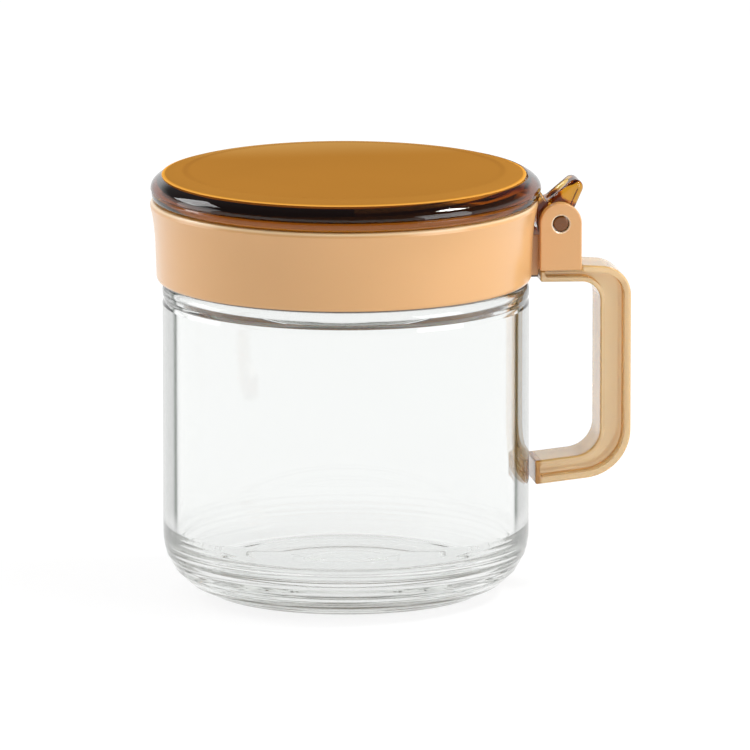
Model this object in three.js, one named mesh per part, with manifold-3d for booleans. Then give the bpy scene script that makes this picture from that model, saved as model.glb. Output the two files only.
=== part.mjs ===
// Storage jar: a glass jar, a screw collar with a hinge bracket and a handle, and a flip lid with a thumb lever.
// Millimetres, +Z up. The jar stands on Z = 0 with its axis on Z, and the handle points along +X.

import * as THREE from "three";
import { mergeVertices } from "three/addons/utils/BufferGeometryUtils.js";
import Module from "manifold-3d";

const wasm = await Module();
wasm.setup();

// Glass jar, heights from the surface it stands on
const bodyRadius = 50;
const bodyWall = 3.6;
const footRadiusShare = 0.636;
const footWidth = 3.6;
const footRound = 0.7;
const panelDepth = 0.6;
const panelRun = 1.4;
const heelHeight = 16.6;
const insideHeelRun = 13.5;
const insideHeelHeight = 12.5;
const floorHeight = 7.4;
const floorCrown = 0.8;
const grooveHeight = 81.5;
const grooveDepth = 0.6;
const grooveHalf = 1.3;
const grooveRound = 1.1;
const beadRise = 4.5;
const beadRound = 2.2;
const neckSetback = 3.6;
const neckWall = 3.2;
const neckHeight = 12.1;
const neckRootRound = 0.8;
const lipRound = 1.2;
const insideShoulderDrop = 0.9;
const insideShoulderRise = 1.6;
const insideShoulderRound = 5;

// Screw thread
const threadStarts = 3;
const threadSweep = THREE.MathUtils.degToRad(100);
const threadFade = THREE.MathUtils.degToRad(16);
const threadLead = 12;
const threadDepth = 1.6;
const threadRootHalf = 1.1;
const threadCrestHalf = 0.5;
const threadRise = 4;
const threadClearance = 0.5;
const collarThreadDepth = 1.4;

// Collar, spreads outwards and drops downwards from the crest
const rimShift = 0.5;
const collarLift = 0.3;
const collarWall = 2.55;
const collarFootRound = 1.6;
const collarMidSpread = 0.45;
const collarMidRound = 60;
const collarFlareSpread = 0.55;
const collarFlareDrop = 5;
const collarFlareRound = 25;
const collarTopSpread = 0.8;
const collarTopDrop = 3.5;
const collarCrestInset = 0.55;
const collarCrestDrop = 1.3;
const collarCrestRise = 6.9;
const collarRound = 0.7;
const boreLeadIn = 0.6;
const deckThickness = 1.7;
const deckOverhang = 0.4;
const deckRound = 0.5;
const seatInset = 0.65;
const seatHeight = 2.8;
const seatFlareSpread = 2.75;
const seatFlareRound = 3;
const pocketClearance = 0.5;
const pocketDrop = 1.1;
const pocketRun = 1.1;

// Gaskets
const gasketThickness = 1.2;
const gasketRound = 0.35;
const sealThickness = 1;
const sealRound = 0.3;
const sealClearance = 0.35;
const sealGrooveDepth = 1.2;

// Hinge bracket on the collar, placed from the hinge axis
const hingeSetOut = 5.7;
const pinDrop = 7.1;
const earRadius = 5.75;
const earDrop = 12.9;
const earFootRound = 0.5;
const earThickness = 2.9;
const earEdge = 0.4;
const spineHalf = 4.9;
const spineDepth = 1.6;
const spineDrop = 3.4;
const bracketBack = 0.6;
const stepHeight = 5.7;
const armSlotDepth = 0.4;
const armSlotDrop = 0.8;

// Hinge pin
const pinRadius = 2.05;
const pinDome = 0.45;
const pinSink = 0.2;

// Lid, heights upwards from its foot
const lidOverhang = 0.35;
const lidFootInset = 0.3;
const lidFootRound = 1.3;
const lidBandHeight = 2.4;
const lidBandTaper = 0.5;
const lidWaistDepth = 0.3;
const lidCrownRise = 4.8;
const lidEdgeRun = 10.4;
const lidPlate = 2.6;
const lidRimWall = 3.9;
const lidRound = 0.8;
const plugClearance = 1.45;
const plugWall = 2;
const plugRound = 0.4;
const plugLip = 0.8;

// Lid arm, knuckle and thumb lever, placed from the hinge axis
const knuckleHalf = 5.2;
const knuckleRadius = 5.45;
const armSetBack = 6.15;
const armEdge = 0.5;
const armRootRun = 1;
const armRootRise = 0.5;
const armHeadRun = 0.4;
const armHeadRise = 1;
const armNeckRun = 2.9;
const armNeckRise = 5.4;
const armNeckRound = 0.7;
const leverTipRun = 4.65;
const leverTipRise = 9.3;
const leverTipRadius = 2.1;
const leverShoulderRise = 1.2;
const leverWaistRun = 4.25;
const leverWaistRise = 3.2;
const leverWaistRound = 1.5;
const dishMiddle = 4.6;
const dishHalfLength = 4;
const dishHalfWidth = 3.6;
const dishDepth = 1.1;

// Handle
const handleHalf = 7.1;
const handleEdge = 0.5;
const handleHeight = 60.7;
const gripSetOut = 19.65;
const gripDepth = 8.5;
const upperOuterRound = 8.2;
const upperInnerRound = 5.2;
const lowerOuterRound = 13.5;
const lowerInnerRound = 7.6;
const handleEndGap = 1.3;
const handleEndRound = 0.6;
const rootDepth = 3;
const upperUndersideFall = 0.3;
const upperTopRise = 1.1;
const upperTopFall = 1.1;
const lowerDepth = 6.6;
const lowerUndersideLift = 2.7;
const lowerTopLift = 1.8;
const outerFlange = 1.8;
const innerFlange = 1.2;
const endWall = 1.3;
const webHalf = 3.2;
const recessRound = 0.9;
const tongueHalf = 1.6;
const tongueFrontInset = 2;
const tongueBackInset = 2.6;
const tongueHeight = 4.2;

// Fits and mesh fineness
const fit = 0.3;
const pinPlay = 0.3;
const knucklePlay = 0.4;
const overrun = 2;
const weldDistance = 0.0005;
const bendRadius = 4;
const turnSteps = 48;
const curveSteps = 8;
const bendSteps = 6;
const roundSteps = 2;
const pinSteps = 24;
const threadSteps = 20;

// Materials
const finish = (color, roughness, metalness = 0) => new THREE.MeshStandardMaterial({ color, roughness, metalness });
const clearGlass = finish(0xdfe6e1, 0.05);
const peachPlastic = finish(0xe0b184, 0.35);
const champagnePlastic = finish(0xe3c195, 0.25);
const amberPlastic = finish(0xb9802f, 0.15);
const brownPlastic = finish(0x7a4b2b, 0.35);
const gasketSilicone = finish(0xe9e4da, 0.6);
const sealSilicone = finish(0xe6e0d4, 0.6);

// A closed solid from a three.js geometry, without the faces that shrink to a line on the axis.
function solidOf(geometry) {
  const loose = geometry.index ? geometry.toNonIndexed() : geometry;
  const bare = new THREE.BufferGeometry().setAttribute("position", loose.getAttribute("position"));
  const welded = mergeVertices(bare, weldDistance);
  const faces = [];
  for (let i = 0; i < welded.index.count; i += 3) {
    const face = [0, 1, 2].map((k) => welded.index.getX(i + k));
    if (new Set(face).size === 3) faces.push(...face);
  }
  const vertProperties = welded.getAttribute("position").array;
  return new wasm.Manifold(new wasm.Mesh({ numProp: 3, vertProperties, triVerts: new Uint32Array(faces) }));
}

function meshOf(name, solid, material) {
  const data = solid.getMesh();
  const geometry = new THREE.BufferGeometry();
  geometry.setAttribute("position", new THREE.BufferAttribute(data.vertProperties, 3));
  geometry.setIndex(new THREE.BufferAttribute(data.triVerts, 1));
  geometry.computeVertexNormals();
  const mesh = new THREE.Mesh(geometry, material);
  mesh.name = name;
  return mesh;
}

function joined(solids) {
  return solids.reduce((whole, piece) => whole.add(piece));
}

function cutAway(solid, cutters) {
  return cutters.reduce((rest, cutter) => rest.subtract(cutter), solid);
}

// Points on an elliptical arc, the first and last included.
function arc(centreX, centreY, radiusX, radiusY, from, to, steps) {
  return Array.from({ length: steps + 1 }, (_, i) => {
    const angle = from + ((to - from) * i) / steps;
    return new THREE.Vector2(centreX + radiusX * Math.cos(angle), centreY + radiusY * Math.sin(angle));
  });
}

// A path through corners [x, y, radius], each corner with a radius rounded off. An open path keeps its two ends.
function rounded(corners, open = false) {
  const last = corners.length - 1;
  return corners.flatMap(([x, y, radius = 0], i) => {
    const corner = new THREE.Vector2(x, y);
    const isEnd = open && (i === 0 || i === last);
    if (!radius || isEnd) return [corner];
    const before = new THREE.Vector2(...corners[i === 0 ? last : i - 1]).sub(corner).normalize();
    const after = new THREE.Vector2(...corners[i === last ? 0 : i + 1]).sub(corner).normalize();
    const opening = Math.acos(THREE.MathUtils.clamp(before.dot(after), -1, 1));
    const centre = before.clone().add(after).setLength(radius / Math.sin(opening / 2)).add(corner);
    const reach = radius / Math.tan(opening / 2);
    const start = before.multiplyScalar(reach).add(corner).sub(centre);
    const end = after.multiplyScalar(reach).add(corner).sub(centre);
    const turn = Math.atan2(start.cross(end), start.dot(end));
    const fineness = radius > bendRadius ? bendSteps : roundSteps;
    const steps = Math.max(1, Math.ceil((Math.abs(turn) / (Math.PI / 2)) * fineness));
    return arc(centre.x, centre.y, radius, radius, start.angle(), start.angle() + turn, steps);
  });
}

// Moves each side of a counter-clockwise outline inwards by its own distance. Side i runs from corner i to the next.
function inset(corners, distances) {
  const count = corners.length;
  const sides = corners.map(([x, y], i) => {
    const [nextX, nextY] = corners[(i + 1) % count];
    const along = new THREE.Vector2(nextX - x, nextY - y).normalize();
    const inwards = new THREE.Vector2(-along.y, along.x);
    return { along, point: new THREE.Vector2(x, y).addScaledVector(inwards, distances[i]) };
  });
  return corners.map(([, , radius = 0], i) => {
    const before = (i + count - 1) % count;
    const [a, b] = [sides[before], sides[i]];
    const turn = a.along.cross(b.along);
    const reach = b.point.clone().sub(a.point).cross(b.along) / turn;
    const corner = a.point.clone().addScaledVector(a.along, reach);
    const moved = Math.max(distances[before], distances[i]);
    return [corner.x, corner.y, radius ? Math.max(radius - Math.sign(turn) * moved, recessRound) : recessRound];
  });
}

// Turns a profile of radius and height round the Z axis.
function turned(profile, steps = turnSteps) {
  return solidOf(new THREE.LatheGeometry(profile, steps).rotateX(Math.PI / 2));
}

const ring = (corners) => {
  const path = rounded(corners);
  return turned([...path, path[0]]);
};

// A plate with its outline in X and Z, centred on Y = 0, with its edges broken.
function plate(outline, width, edge = 0) {
  const depth = width - 2 * edge;
  const shape = new THREE.Shape(outline);
  const bevel = { bevelEnabled: edge > 0, bevelThickness: edge, bevelSize: edge, bevelOffset: -edge };
  const geometry = new THREE.ExtrudeGeometry(shape, { depth, steps: 1, bevelSegments: 2, ...bevel });
  return solidOf(geometry.translate(0, 0, -depth / 2).rotateX(Math.PI / 2));
}

function box(fromX, toX, halfY, fromZ, toZ) {
  const geometry = new THREE.BoxGeometry(toX - fromX, 2 * halfY, toZ - fromZ);
  return solidOf(geometry.translate((fromX + toX) / 2, 0, (fromZ + toZ) / 2));
}

// A rod along Y on the hinge axis.
function hingeRod(radius, length, steps) {
  return solidOf(new THREE.CylinderGeometry(radius, radius, length, steps).translate(pinDistance, 0, pinHeight));
}

// Screw thread: ridges that climb round the axis and sink into the wall at both ends. An outside thread grows
// outwards from its root radius, and an inside thread grows inwards.
function threadRidge(rootRadius, depth, foot, outside, firstAngle) {
  const grow = outside ? 1 : -1;
  const rings = Array.from({ length: threadSteps + 1 }, (_, i) => {
    const along = (threadSweep * i) / threadSteps;
    const fromEnd = Math.min(along, threadSweep - along);
    const risen = THREE.MathUtils.smoothstep(fromEnd, 0, threadFade);
    const rise = THREE.MathUtils.lerp(-fit / 2, depth, risen);
    const height = foot + (threadLead * along) / (2 * Math.PI);
    const buried = rootRadius - grow * fit;
    const crest = rootRadius + grow * rise;
    const section = [
      [buried, -threadRootHalf],
      [crest, -threadCrestHalf],
      [crest, threadCrestHalf],
      [buried, threadRootHalf],
    ];
    const angle = firstAngle + along;
    return section.map(([r, z]) => [r * Math.cos(angle), r * Math.sin(angle), height + z]);
  });
  const sides = rings[0].length;
  const faces = [];
  const face = (...corners) => faces.push(...(outside ? corners : corners.reverse()));
  for (let i = 0; i < threadSteps; i++) {
    for (let k = 0; k < sides; k++) {
      const [a, b] = [i * sides + k, i * sides + ((k + 1) % sides)];
      face(a, a + sides, b);
      face(b, a + sides, b + sides);
    }
  }
  const end = threadSteps * sides;
  for (let k = 1; k < sides - 1; k++) {
    face(0, k, k + 1);
    face(end, end + k + 1, end + k);
  }
  const geometry = new THREE.BufferGeometry();
  geometry.setAttribute("position", new THREE.Float32BufferAttribute(rings.flat(2), 3));
  return solidOf(geometry.setIndex(faces));
}

function thread(rootRadius, depth, foot, outside) {
  const angles = Array.from({ length: threadStarts }, (_, i) => (2 * Math.PI * i) / threadStarts);
  return angles.map((angle) => threadRidge(rootRadius, depth, foot, outside, angle));
}

// Glass jar: foot ring, rounded heel, straight body, bead under the neck and a threaded neck
const bodyBore = bodyRadius - bodyWall;
const footRadius = bodyRadius * footRadiusShare;
const footBore = footRadius - footWidth;
const beadTop = grooveHeight + beadRise;
const neckRadius = bodyRadius - neckSetback;
const neckBore = neckRadius - neckWall;
const lipHeight = beadTop + neckHeight;
const insideShoulderHead = beadTop + insideShoulderRise;
const insideShoulderFoot = grooveHeight - insideShoulderDrop;
const insideFloorRadius = bodyBore - insideHeelRun;
const insideHeelTop = floorHeight + insideHeelHeight;

const jarProfile = [
  ...rounded(
    [
      [0, panelDepth],
      [footBore - panelRun, panelDepth, footRound],
      [footBore, 0, footRound],
      [footRadius - footRound, 0],
    ],
    true,
  ),
  ...arc(footRadius, heelHeight, bodyRadius - footRadius, heelHeight, -Math.PI / 2, 0, curveSteps),
  ...rounded(
    [
      [bodyRadius, grooveHeight - 2 * grooveHalf],
      [bodyRadius, grooveHeight - grooveHalf, grooveRound / 2],
      [bodyRadius - grooveDepth, grooveHeight, grooveRound],
      [bodyRadius, grooveHeight + grooveHalf, grooveRound / 2],
      [bodyRadius, beadTop, beadRound],
      [neckRadius, beadTop, neckRootRound],
      [neckRadius, lipHeight, lipRound],
      [neckBore, lipHeight, lipRound],
      [neckBore, insideShoulderHead, insideShoulderRound],
      [bodyBore, insideShoulderFoot, insideShoulderRound],
      [bodyBore, insideShoulderFoot - insideShoulderRound],
    ],
    true,
  ),
  ...arc(insideFloorRadius, insideHeelTop, insideHeelRun, insideHeelHeight, 0, -Math.PI / 2, curveSteps),
  new THREE.Vector2(0, floorHeight + floorCrown),
];
const threadFoot = beadTop + threadRise;
const jarThread = thread(neckRadius, threadDepth, threadFoot, true);
const jarSolid = joined([turned(jarProfile), ...jarThread]);

// Neck gasket: a flat ring between the glass lip and the deck of the collar
const gasketPocket = neckRadius + pocketClearance;
const gasketFoot = lipHeight + fit;
const gasketTop = gasketFoot + gasketThickness;
const gasketInner = neckBore + fit;
const gasketOuter = gasketPocket - fit;
const gasketSolid = ring([
  [gasketInner, gasketFoot, gasketRound],
  [gasketOuter, gasketFoot, gasketRound],
  [gasketOuter, gasketTop, gasketRound],
  [gasketInner, gasketTop, gasketRound],
]);

// Collar: the outside flares towards the lid, and its rim is set off the jar axis, away from the hinge
const collarBore = neckRadius + threadDepth + threadClearance;
const collarFootHeight = beadTop + collarLift;
const collarFootRadius = collarBore + collarWall;
const deckUnderside = gasketTop + fit;
const deckTop = deckUnderside + deckThickness;
const collarCrestHeight = deckTop + collarCrestRise;
const collarTopHeight = collarCrestHeight - collarCrestDrop;
const collarFlareHeight = collarTopHeight - collarTopDrop;
const collarMidHeight = collarFlareHeight - collarFlareDrop;
const collarMidRadius = collarFootRadius + collarMidSpread;
const collarFlareRadius = collarMidRadius + collarFlareSpread;
const collarTopRadius = collarFlareRadius + collarTopSpread;
const collarCrestRadius = collarTopRadius - collarCrestInset;
const collarOutside = turned(
  rounded(
    [
      [0, collarFootHeight],
      [collarFootRadius, collarFootHeight, collarFootRound],
      [collarMidRadius, collarMidHeight, collarMidRound],
      [collarFlareRadius, collarFlareHeight, collarFlareRound],
      [collarTopRadius, collarTopHeight, collarRound],
      [collarCrestRadius, collarCrestHeight, collarRound],
      [0, collarCrestHeight],
    ],
    true,
  ),
).translate([-rimShift, 0, 0]);

// Inside, upwards: threaded bore, pocket for the neck gasket, deck, wall for the lid seal and a flared mouth
const pocketFoot = lipHeight - pocketDrop;
const deckBore = neckBore - deckOverhang;
const seatWall = collarBore - seatInset;
const seatFlareFoot = deckTop + seatHeight;
const seatFlareRadius = seatWall + seatFlareSpread;
const collarInside = turned(
  rounded(
    [
      [0, collarFootHeight - overrun],
      [collarBore + boreLeadIn, collarFootHeight - overrun],
      [collarBore + boreLeadIn, collarFootHeight],
      [collarBore, collarFootHeight + boreLeadIn],
      [collarBore, pocketFoot - pocketRun],
      [gasketPocket, pocketFoot],
      [gasketPocket, deckUnderside],
      [deckBore, deckUnderside, deckRound],
      [deckBore, deckTop, deckRound],
      [seatWall, deckTop, deckRound],
      [seatWall, seatFlareFoot, seatFlareRound],
      [seatFlareRadius, collarCrestHeight],
      [seatFlareRadius, collarCrestHeight + overrun],
      [0, collarCrestHeight + overrun],
    ],
    true,
  ),
);

// The inside thread runs half a pitch under the outside one.
const threadPitch = threadLead / threadStarts;
const collarThread = thread(collarBore, collarThreadDepth, threadFoot - threadPitch / 2, false);

// Hinge bracket: a spine off the collar, a block with a round seat for the knuckle, and an ear on each side
const pinDistance = collarTopRadius - rimShift + hingeSetOut;
const pinHeight = collarCrestHeight - pinDrop;
const earFoot = pinHeight - earDrop;
const earInner = knuckleHalf + fit;
const earOuter = earInner + earThickness;
const earLeft = pinDistance - earRadius;
const earRight = pinDistance + earRadius;
const spineRoot = collarFootRadius - rimShift - spineDepth;
const spineHead = pinHeight - spineDrop;
const stepHead = earFoot + stepHeight;
const rootDistance = earLeft + fit;
const earOutline = rounded([
  [earLeft, earFoot, earFootRound],
  [earRight, earFoot, earFootRound],
  [earRight, pinHeight + earRadius, earRadius],
  [earLeft, pinHeight + earRadius, earRadius],
]);
const ears = [-1, 1].map((side) => {
  const offset = (side * (earInner + earOuter)) / 2;
  return plate(earOutline, earThickness, earEdge).translate([0, offset, 0]);
});
const blockHalf = earOuter - earThickness / 2;
const block = joined([
  box(earLeft + bracketBack, earRight - bracketBack, blockHalf, earFoot + bracketBack, stepHead),
  box(earLeft + bracketBack, pinDistance, blockHalf, earFoot + bracketBack, spineHead),
  box(spineRoot, earLeft + 2 * bracketBack, spineHalf, earFoot, spineHead),
  box(spineRoot, rootDistance - fit, spineHalf, collarFootHeight, spineHead),
]);
const knuckleSeat = hingeRod(armSetBack + knucklePlay, 2 * (blockHalf + overrun), turnSteps);

// Handle tongue, a web that stands up into a slot in the bracket
const rootTop = earFoot - fit;
const tongueTop = rootTop + tongueHeight;
const tongueDistance = rootDistance + tongueBackInset;
const tongueEnd = earRight - tongueFrontInset;
const tongueSlot = box(tongueDistance - fit, tongueEnd + fit, tongueHalf + fit, earFoot - overrun, tongueTop + fit);

// The arm of the lid hangs outside the collar wall in a shallow slot.
const armLeft = pinDistance - armSetBack;
const armSlotFoot = pinHeight - armSlotDrop;
const armSlot = box(armLeft - armSlotDepth, pinDistance, earInner, armSlotFoot, collarCrestHeight + overrun);

const seatedBlock = cutAway(block, [knuckleSeat, tongueSlot]);
const collarBody = cutAway(collarOutside.add(seatedBlock), [collarInside, armSlot]);
const pinBore = hingeRod(pinRadius + pinPlay, 2 * (earOuter + overrun), pinSteps);
const collarSolid = joined([collarBody, ...collarThread, ...ears]).subtract(pinBore);

// Handle: an I-section with rounded corners, open towards the jar
const handleEnd = bodyRadius + handleEndGap;
const gripOuter = pinDistance + gripSetOut;
const gripInner = gripOuter - gripDepth;
const shoulderDistance = earRight + fit;
const rootUnderside = rootTop - rootDepth;
const upperUnderside = rootUnderside - upperUndersideFall;
const upperTopAtEar = earFoot + upperTopRise;
const upperTopAtGrip = upperTopAtEar - upperTopFall;
const lowerUndersideAtEnd = upperTopAtEar - handleHeight;
const lowerUndersideAtGrip = lowerUndersideAtEnd + lowerUndersideLift;
const lowerTopAtEnd = lowerUndersideAtEnd + lowerDepth;
const lowerTopAtGrip = lowerTopAtEnd + lowerTopLift;
const gripCorners = [
  [handleEnd, lowerUndersideAtEnd, handleEndRound],
  [gripOuter, lowerUndersideAtGrip, lowerOuterRound],
  [gripOuter, upperTopAtGrip, upperOuterRound],
  [shoulderDistance, upperTopAtEar, handleEndRound],
];
const fingerCorners = [
  [gripInner, upperUnderside, upperInnerRound],
  [gripInner, lowerTopAtGrip, lowerInnerRound],
  [handleEnd, lowerTopAtEnd, handleEndRound],
];
const rootCorners = [
  [shoulderDistance, rootTop],
  [rootDistance, rootTop],
  [rootDistance, rootUnderside, handleEndRound],
];
const handleCorners = [...gripCorners, ...rootCorners, ...fingerCorners];

// One inset for each side of the outline: the recess is open at the top under the ears
const recessInsets = [
  outerFlange,
  outerFlange,
  outerFlange,
  0,
  -overrun,
  endWall,
  innerFlange,
  innerFlange,
  innerFlange,
  endWall,
];
const recessWidth = handleHalf - webHalf + overrun;
const recesses = [-1, 1].map((side) => {
  const recess = plate(rounded(inset(handleCorners, recessInsets)), recessWidth, recessRound / 2);
  return recess.translate([0, side * (webHalf + recessWidth / 2), 0]);
});
const tongue = box(tongueDistance, tongueEnd, tongueHalf, rootUnderside + innerFlange, tongueTop);
const handleSolid = cutAway(plate(rounded(handleCorners), 2 * handleHalf, handleEdge), recesses).add(tongue);

// Hinge pin: a rod with domed ends, set a little below the faces of the ears
const pinEnd = earOuter - pinSink;
const pinProfile = rounded(
  [
    [0, -pinEnd],
    [pinRadius, -pinEnd, pinDome],
    [pinRadius, pinEnd, pinDome],
    [0, pinEnd],
  ],
  true,
);
const pinSolid = turned(pinProfile, pinSteps).rotate([90, 0, 0]).translate([pinDistance, 0, pinHeight]);

// Lid: a plate with a heavy rounded rim, and a plug skirt that carries the lid seal
const lidFoot = collarCrestHeight + fit;
const lidWaist = lidFoot + lidBandHeight;
const lidWidest = lidWaist + lidBandTaper;
const lidTop = lidWidest + lidCrownRise;
const lidRadius = collarTopRadius + lidOverhang;
const lidFootRadius = lidRadius - lidFootInset;
const lidFlatRadius = lidRadius - lidEdgeRun;
const plateUnderside = lidTop - lidPlate;
const rimBore = lidRadius - lidRimWall;
const lidDisc = turned([
  ...rounded(
    [
      [0, plateUnderside],
      [rimBore, plateUnderside, lidRound],
      [rimBore, lidFoot, lidRound / 2],
      [lidFootRadius, lidFoot, lidFootRound],
      [lidFootRadius, lidWaist - lidBandTaper, lidBandTaper],
      [lidFootRadius - lidWaistDepth, lidWaist],
      [lidRadius, lidWidest],
    ],
    true,
  ),
  ...arc(lidFlatRadius, lidWidest, lidEdgeRun, lidCrownRise, 0, Math.PI / 2, curveSteps).slice(1),
  new THREE.Vector2(0, lidTop),
]).translate([-rimShift, 0, 0]);

const plugOuter = seatWall - plugClearance;
const plugInner = plugOuter - plugWall;
const plugFoot = deckTop + fit;
const grooveWall = plugOuter - sealGrooveDepth;
const sealGrooveFoot = plugFoot + plugLip;
const sealGrooveTop = sealGrooveFoot + sealThickness + 2 * fit;
const plug = ring([
  [plugInner, plugFoot, plugRound],
  [plugOuter, plugFoot, plugRound],
  [plugOuter, sealGrooveFoot],
  [grooveWall, sealGrooveFoot],
  [grooveWall, sealGrooveTop],
  [plugOuter, sealGrooveTop],
  [plugOuter, plateUnderside + fit],
  [plugInner, plateUnderside + fit],
]);

// Arm, knuckle and thumb lever as one plate, with a shallow dish along the top of the lever
const armRoot = armLeft - armRootRun;
const armFoot = lidFoot + armRootRise;
const armNeck = new THREE.Vector2(armLeft + armNeckRun, pinHeight + armNeckRise);
const leverWaist = new THREE.Vector2(pinDistance + leverWaistRun, pinHeight + leverWaistRise);
const leverTip = new THREE.Vector2(pinDistance + leverTipRun, pinHeight + leverTipRise);
const topLine = leverTip.clone().sub(armNeck);
const backLine = leverTip.clone().sub(leverWaist);
const topSlope = topLine.angle() + Math.asin(leverTipRadius / topLine.length());
const backSlope = backLine.angle() - Math.asin(leverTipRadius / backLine.length());
const tipFrom = backSlope - Math.PI / 2;
const tipTo = topSlope + Math.PI / 2;
const armOutline = [
  new THREE.Vector2(armRoot, armFoot),
  new THREE.Vector2(armLeft, armFoot),
  ...arc(pinDistance, pinHeight, armSetBack, armSetBack, Math.PI, 1.5 * Math.PI, bendSteps),
  ...arc(pinDistance, pinHeight, knuckleRadius, armSetBack, -Math.PI / 2, 0, bendSteps).slice(1),
  ...rounded(
    [
      [pinDistance + knuckleRadius, pinHeight + leverShoulderRise],
      [leverWaist.x, leverWaist.y, leverWaistRound],
      [leverTip.x, leverTip.y],
    ],
    true,
  ).slice(0, -1),
  ...arc(leverTip.x, leverTip.y, leverTipRadius, leverTipRadius, tipFrom, tipTo, bendSteps),
  ...rounded(
    [
      [leverTip.x, leverTip.y],
      [armNeck.x, armNeck.y, armNeckRound],
      [armLeft - armHeadRun, lidWaist + armHeadRise],
    ],
    true,
  ).slice(1),
];
const armWithLever = plate(armOutline, 2 * knuckleHalf, armEdge);
const dish = solidOf(
  new THREE.SphereGeometry(1, turnSteps / 2, bendSteps * 2)
    .scale(dishHalfLength, dishHalfWidth, dishDepth)
    .translate(dishMiddle, 0, 0)
    .rotateY(-topSlope)
    .translate(armNeck.x, 0, armNeck.y),
);
const lidSolid = cutAway(joined([lidDisc, plug, armWithLever]), [dish, pinBore]);

// Lid seal: a ring in the groove of the plug
const sealInner = grooveWall + fit;
const sealOuter = seatWall - sealClearance;
const sealFoot = sealGrooveFoot + fit;
const sealTop = sealFoot + sealThickness;
const sealSolid = ring([
  [sealInner, sealFoot, sealRound],
  [sealOuter, sealFoot, sealRound],
  [sealOuter, sealTop, sealRound],
  [sealInner, sealTop, sealRound],
]);

// Assembly
const part = new THREE.Group();
part.name = "storage_jar";
part.add(
  meshOf("glass_jar", jarSolid, clearGlass),
  meshOf("neck_gasket", gasketSolid, gasketSilicone),
  meshOf("collar", collarSolid, peachPlastic),
  meshOf("handle", handleSolid, champagnePlastic),
  meshOf("hinge_pin", pinSolid, brownPlastic),
  meshOf("lid", lidSolid, amberPlastic),
  meshOf("lid_seal", sealSolid, sealSilicone),
);

export default part;
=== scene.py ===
import math

import bmesh
import bpy
from mathutils import Matrix, Vector


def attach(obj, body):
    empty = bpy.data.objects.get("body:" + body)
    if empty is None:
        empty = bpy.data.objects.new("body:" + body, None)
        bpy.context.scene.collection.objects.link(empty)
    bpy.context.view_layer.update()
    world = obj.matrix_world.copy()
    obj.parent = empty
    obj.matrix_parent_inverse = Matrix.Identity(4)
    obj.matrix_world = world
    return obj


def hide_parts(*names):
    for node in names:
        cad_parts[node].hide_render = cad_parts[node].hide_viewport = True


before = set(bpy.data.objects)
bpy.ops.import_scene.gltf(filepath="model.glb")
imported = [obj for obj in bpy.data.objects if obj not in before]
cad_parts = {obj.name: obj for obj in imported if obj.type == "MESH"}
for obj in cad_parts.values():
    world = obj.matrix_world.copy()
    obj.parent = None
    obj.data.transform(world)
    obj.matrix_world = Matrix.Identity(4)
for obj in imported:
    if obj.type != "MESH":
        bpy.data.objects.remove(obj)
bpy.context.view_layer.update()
scene = bpy.context.scene
mm = 0.001
weldDistance = 0.002
quarterTurn = Matrix.Rotation(math.pi / 2, 4, "X")
print("frame loaded:", ", ".join(sorted(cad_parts)))


# Outlines are in millimetres. A corner is (x, y) or (x, y, radius).

def arcPoints(centre, radii, fromAngle, toAngle, stepAngle=8):
    steps = max(2, math.ceil(abs(math.degrees(toAngle - fromAngle)) / stepAngle))
    angles = [fromAngle + (toAngle - fromAngle) * i / steps for i in range(steps + 1)]
    return [(centre[0] + radii[0] * math.cos(a), centre[1] + radii[1] * math.sin(a)) for a in angles]


def roundedPath(corners, isOpen=False, stepAngle=10):
    points = []
    last = len(corners) - 1
    for i, corner in enumerate(corners):
        here = Vector(corner[:2])
        radius = corner[2] if len(corner) > 2 else 0
        if not radius or (isOpen and i in (0, last)):
            points.append(tuple(here))
            continue
        before = (Vector(corners[i - 1][:2]) - here).normalized()
        after = (Vector(corners[(i + 1) % len(corners)][:2]) - here).normalized()
        opening = before.angle(after)
        centre = here + (before + after).normalized() * radius / math.sin(opening / 2)
        reach = radius / math.tan(opening / 2)
        start = here + before * reach - centre
        end = here + after * reach - centre
        turn = math.atan2(start.x * end.y - start.y * end.x, start.dot(end))
        first = math.atan2(start.y, start.x)
        points += arcPoints(centre, (radius, radius), first, first + turn, stepAngle)
    return points


def insetCorners(corners, distances, leastRound):
    count = len(corners)
    sides = []
    for i, corner in enumerate(corners):
        here, there = Vector(corner[:2]), Vector(corners[(i + 1) % count][:2])
        along = (there - here).normalized()
        sides.append((along, here + Vector((-along.y, along.x)) * distances[i]))
    moved = []
    for i, corner in enumerate(corners):
        (a, pointA), (b, pointB) = sides[i - 1], sides[i]
        turn = a.x * b.y - a.y * b.x
        gap = pointB - pointA
        place = pointA + a * (gap.x * b.y - gap.y * b.x) / turn
        radius = corner[2] if len(corner) > 2 else 0
        inwards = max(distances[i - 1], distances[i]) * (1 if turn > 0 else -1)
        moved.append((place.x, place.y, max(radius - inwards, leastRound) if radius else leastRound))
    return moved


# Geometry Nodes

def addNode(tree, kind, **settings):
    node = tree.nodes.new(kind)
    for name, value in settings.items():
        setattr(node, name, value)
    return node


def mathNode(tree, operation, first, second=None, clamp=False):
    node = addNode(tree, "ShaderNodeMath", operation=operation, use_clamp=clamp)
    for socket, value in zip(node.inputs, (first, second)):
        if isinstance(value, bpy.types.NodeSocket):
            tree.links.new(value, socket)
        elif value is not None:
            socket.default_value = value
    return node.outputs[0]


def newTree(name, sockets):
    tree = bpy.data.node_groups.new(name, "GeometryNodeTree")
    tree.interface.new_socket("Geometry", in_out="OUTPUT", socket_type="NodeSocketGeometry")
    for label, kind in sockets:
        tree.interface.new_socket(label, in_out="INPUT", socket_type="NodeSocket" + kind)
    return tree, addNode(tree, "NodeGroupInput").outputs


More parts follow.
